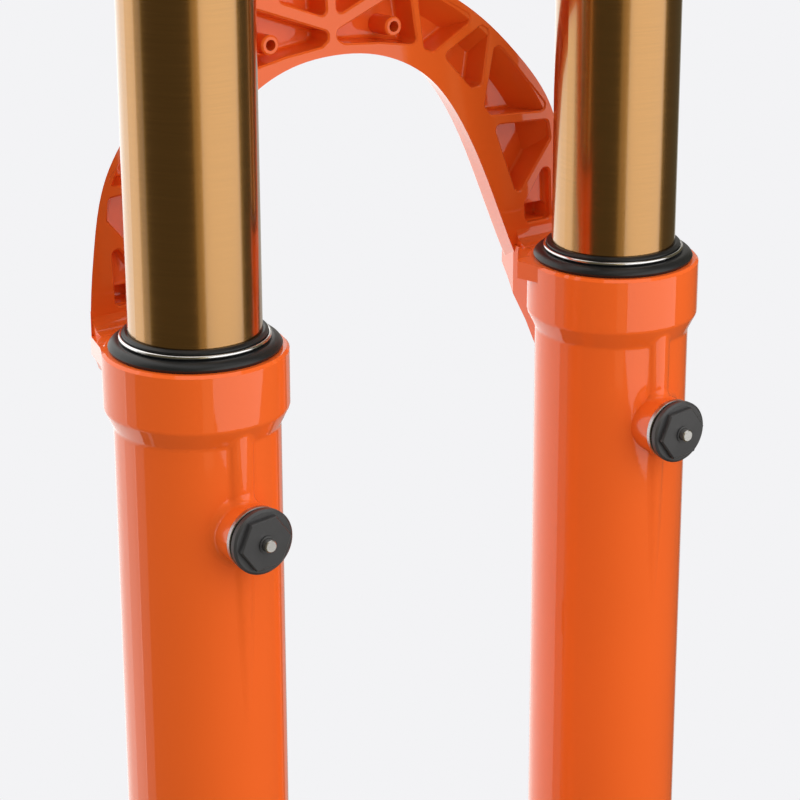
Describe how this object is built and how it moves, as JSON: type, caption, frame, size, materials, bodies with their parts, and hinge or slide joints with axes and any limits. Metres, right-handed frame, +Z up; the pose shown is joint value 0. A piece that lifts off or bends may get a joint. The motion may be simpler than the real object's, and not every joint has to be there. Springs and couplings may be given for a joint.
{
  "type": "suspension fork",
  "caption": "Single-crown air-sprung suspension fork: slim stanchions slide in a cast lower with a ribbed arch, dust wipers, pressure bleeders and a thru axle.",
  "frame": {"origin": "on the steerer axis at the crown race seat", "axes": "+Z up the steerer, -Y forwards on the bicycle, +X to the rider's left"},
  "size_m": [0.2028, 0.1054, 0.837],
  "materials": {
    "fork_paint": "gloss",
    "gold_anodised": "gloss",
    "black_anodised": "satin",
    "blue_anodised": "satin",
    "knob_black": "satin",
    "seal_rubber": "satin",
    "spring_steel": "polished",
    "bleeder_black": "satin",
    "turned_aluminium": "turned",
    "pin_steel": "satin",
    "bolt_steel": "satin",
    "oil_foam": "open foam",
    "bushing_liner": "matte",
    "bumper_elastomer": "matte",
    "spacer_plastic": "matte",
    "valve_brass": "satin"
  },
  "bodies": {
    "uppers": {"steerer_tube": "black_anodised", "crown": "black_anodised", "stanchion_left": "gold_anodised", "stanchion_right": "gold_anodised", "air_top_cap": "black_anodised", "air_valve": "valve_brass", "volume_spacers": "spacer_plastic", "air_seal_head": "turned_aluminium", "seal_head_clips": "spring_steel", "damper_top_cap": "black_anodised", "damper_cartridge": "turned_aluminium", "base_valve": "turned_aluminium", "damper_bladder": "seal_rubber", "damper_seal_head": "turned_aluminium"},
    "lowers": {"lower_leg_left": "fork_paint", "lower_leg_right": "fork_paint", "fork_arch": "fork_paint", "wiper_seal_left": "seal_rubber", "wiper_seal_right": "seal_rubber", "garter_spring_left": "spring_steel", "garter_spring_right": "spring_steel", "foam_ring_left": "oil_foam", "foam_ring_right": "oil_foam", "upper_bushing_left": "bushing_liner", "upper_bushing_right": "bushing_liner", "lower_bushing_left": "bushing_liner", "lower_bushing_right": "bushing_liner", "bleeder_body_left": "bleeder_black", "bleeder_body_right": "bleeder_black", "bleeder_washer_left": "turned_aluminium", "bleeder_washer_right": "turned_aluminium", "bleeder_oring_left": "seal_rubber", "bleeder_oring_right": "seal_rubber", "bleeder_spring_left": "spring_steel", "bleeder_spring_right": "spring_steel", "air_shaft": "pin_steel", "air_piston": "turned_aluminium", "air_piston_seal": "seal_rubber", "top_out_bumper": "bumper_elastomer", "bottom_out_bumper": "bumper_elastomer", "damper_rod": "pin_steel", "damper_piston": "turned_aluminium", "damper_piston_band": "bushing_liner", "air_foot_bolt": "bolt_steel", "damper_foot_nut": "bolt_steel", "crush_washers": "turned_aluminium", "axle_sleeve": "turned_aluminium", "pinch_bolt": "bolt_steel", "hose_guide": "black_anodised", "hose_guide_screw": "bolt_steel"},
    "air_cap": {"air_valve_cap": "black_anodised"},
    "high_speed_compression": {"high_speed_compression_knob": "blue_anodised"},
    "low_speed_compression": {"low_speed_compression_knob": "knob_black"},
    "high_speed_rebound": {"high_speed_rebound_knob": "blue_anodised"},
    "low_speed_rebound": {"low_speed_rebound_knob": "knob_black", "rebound_needle": "pin_steel"},
    "bleeder_left": {"bleeder_button_left": "pin_steel"},
    "bleeder_right": {"bleeder_button_right": "pin_steel"},
    "axle": {"thru_axle": "black_anodised"}
  },
  "joints": [
    {"name": "fork_travel", "type": "slide", "parent": "uppers", "child": "lowers", "axis": [0, 0, 1], "range_m": [0, 0.17], "stiffness_N_per_m": 5000},
    {"name": "bleeder_press_left", "type": "slide", "parent": "lowers", "child": "bleeder_left", "axis": [0, -1, 0], "range_m": [0, 0.0015], "stiffness_N_per_m": 600, "deforming": ["bleeder_spring_left"]},
    {"name": "bleeder_press_right", "type": "slide", "parent": "lowers", "child": "bleeder_right", "axis": [0, -1, 0], "range_m": [0, 0.0015], "stiffness_N_per_m": 600, "deforming": ["bleeder_spring_right"]},
    {"name": "high_speed_compression_turn", "type": "hinge", "parent": "uppers", "child": "high_speed_compression", "pos_m": [-0.075, -0.022, 0], "axis": [0, 0, 1], "range_deg": [0, 170]},
    {"name": "low_speed_compression_turn", "type": "hinge", "parent": "uppers", "child": "low_speed_compression", "pos_m": [-0.075, -0.022, 0], "axis": [0, 0, 1], "range_deg": [0, 340]},
    {"name": "air_cap_turn", "type": "hinge", "parent": "uppers", "child": "air_cap", "pos_m": [0.075, -0.022, 0], "axis": [0, 0, 1], "range_deg": [0, 720]},
    {"name": "high_speed_rebound_turn", "type": "hinge", "parent": "lowers", "child": "high_speed_rebound", "pos_m": [-0.075, -0.022, -0.598], "axis": [0, 0, 1], "range_deg": [-170, 0]},
    {"name": "low_speed_rebound_turn", "type": "hinge", "parent": "lowers", "child": "low_speed_rebound", "pos_m": [-0.075, -0.022, -0.6], "axis": [0, 0, 1], "range_deg": [-340, 0]},
    {"name": "axle_draw", "type": "slide", "parent": "lowers", "child": "axle", "axis": [-1, 0, 0], "range_m": [0, 0.19]}
  ]
}
